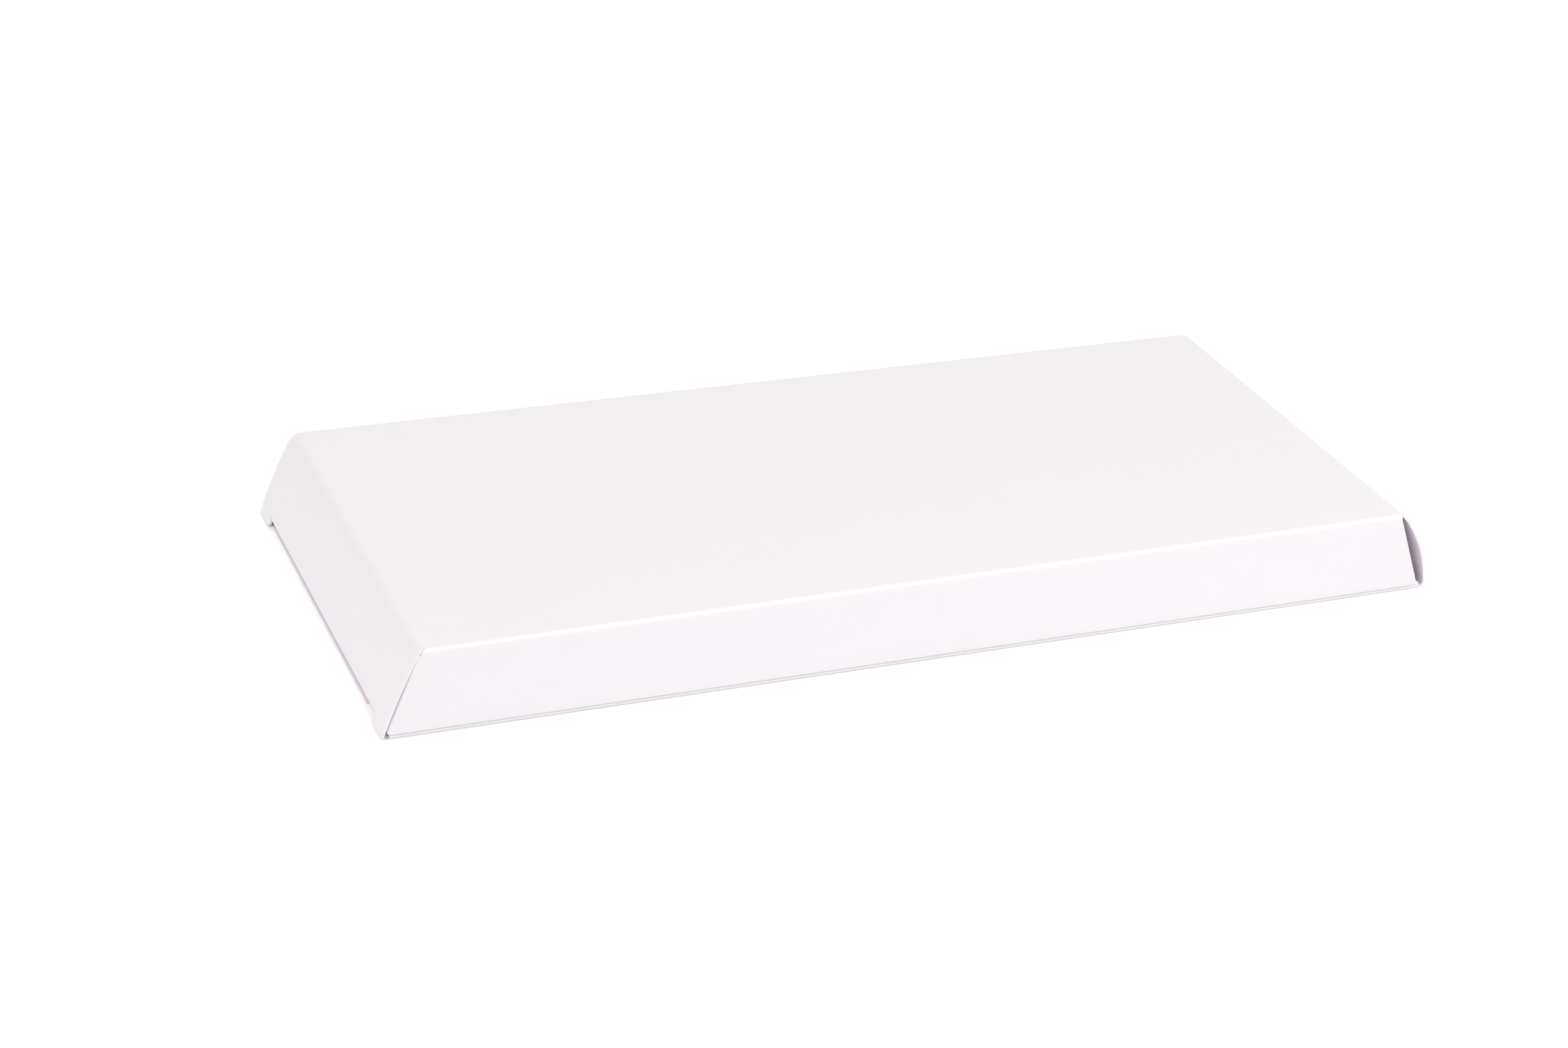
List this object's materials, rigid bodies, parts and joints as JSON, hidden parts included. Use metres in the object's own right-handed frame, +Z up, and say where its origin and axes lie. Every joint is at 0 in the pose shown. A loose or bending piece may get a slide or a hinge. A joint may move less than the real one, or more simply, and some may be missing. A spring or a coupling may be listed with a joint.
{
  "type": "chocolate bar box",
  "caption": "Flat folding carton of white coated board for a chocolate bar, with bulging end panels that tuck in and lock by slit ears, dust flaps, and a glued side seam.",
  "frame": {"origin": "middle of the box's underside", "axes": "+X along the bar towards the right end, +Y from the front panel to the rear panel, +Z up through the top panel"},
  "size_m": [0.175, 0.075, 0.014],
  "materials": {
    "coated_board": "satin",
    "uncoated_board": "matte"
  },
  "bodies": {
    "sleeve": {"top_panel": "coated_board", "front_panel": "coated_board", "rear_panel": "coated_board", "bottom_panel": "coated_board", "glue_flap": "uncoated_board"},
    "left_end": {"left_end_panel": "coated_board"},
    "left_tuck": {"left_tuck_flap": "uncoated_board"},
    "left_front_dust": {"left_front_dust_flap": "uncoated_board"},
    "left_rear_dust": {"left_rear_dust_flap": "uncoated_board"},
    "right_end": {"right_end_panel": "coated_board"},
    "right_tuck": {"right_tuck_flap": "uncoated_board"},
    "right_front_dust": {"right_front_dust_flap": "uncoated_board"},
    "right_rear_dust": {"right_rear_dust_flap": "uncoated_board"}
  },
  "joints": [
    {"name": "left_end_hinge", "type": "hinge", "parent": "sleeve", "child": "left_end", "pos_m": [-0.081, 0, 0.0138], "axis": [0, 1, 0], "range_deg": [0, 165]},
    {"name": "left_tuck_fold", "type": "hinge", "parent": "left_end", "child": "left_tuck", "pos_m": [-0.08585, 0, 0.00093], "axis": [0, 1, 0], "range_deg": [0, 58]},
    {"name": "left_front_dust_hinge", "type": "hinge", "parent": "sleeve", "child": "left_front_dust", "pos_m": [-0.084, -0.0373, 0.007], "axis": [0.3599, 0, 0.933], "range_deg": [0, 90]},
    {"name": "left_rear_dust_hinge", "type": "hinge", "parent": "sleeve", "child": "left_rear_dust", "pos_m": [-0.084, 0.0373, 0.007], "axis": [-0.3599, 0, -0.933], "range_deg": [0, 90]},
    {"name": "right_end_hinge", "type": "hinge", "parent": "sleeve", "child": "right_end", "pos_m": [0.081, 0, 0.0138], "axis": [0, -1, 0], "range_deg": [0, 165]},
    {"name": "right_tuck_fold", "type": "hinge", "parent": "right_end", "child": "right_tuck", "pos_m": [0.08589, 0, 0.00093], "axis": [0, -1, 0], "range_deg": [0, 58]},
    {"name": "right_front_dust_hinge", "type": "hinge", "parent": "sleeve", "child": "right_front_dust", "pos_m": [0.0832, -0.0373, 0.007], "axis": [0.3599, 0, -0.933], "range_deg": [0, 90]},
    {"name": "right_rear_dust_hinge", "type": "hinge", "parent": "sleeve", "child": "right_rear_dust", "pos_m": [0.0832, 0.0373, 0.007], "axis": [-0.3599, 0, 0.933], "range_deg": [0, 90]}
  ],
  "couplings": [
    {"joint": "left_tuck_fold", "follows": "left_end_hinge", "ratio": 0.35},
    {"joint": "left_front_dust_hinge", "follows": "left_end_hinge", "ratio": 0.54},
    {"joint": "left_rear_dust_hinge", "follows": "left_end_hinge", "ratio": 0.54},
    {"joint": "right_tuck_fold", "follows": "right_end_hinge", "ratio": 0.35},
    {"joint": "right_front_dust_hinge", "follows": "right_end_hinge", "ratio": 0.54},
    {"joint": "right_rear_dust_hinge", "follows": "right_end_hinge", "ratio": 0.54}
  ]
}
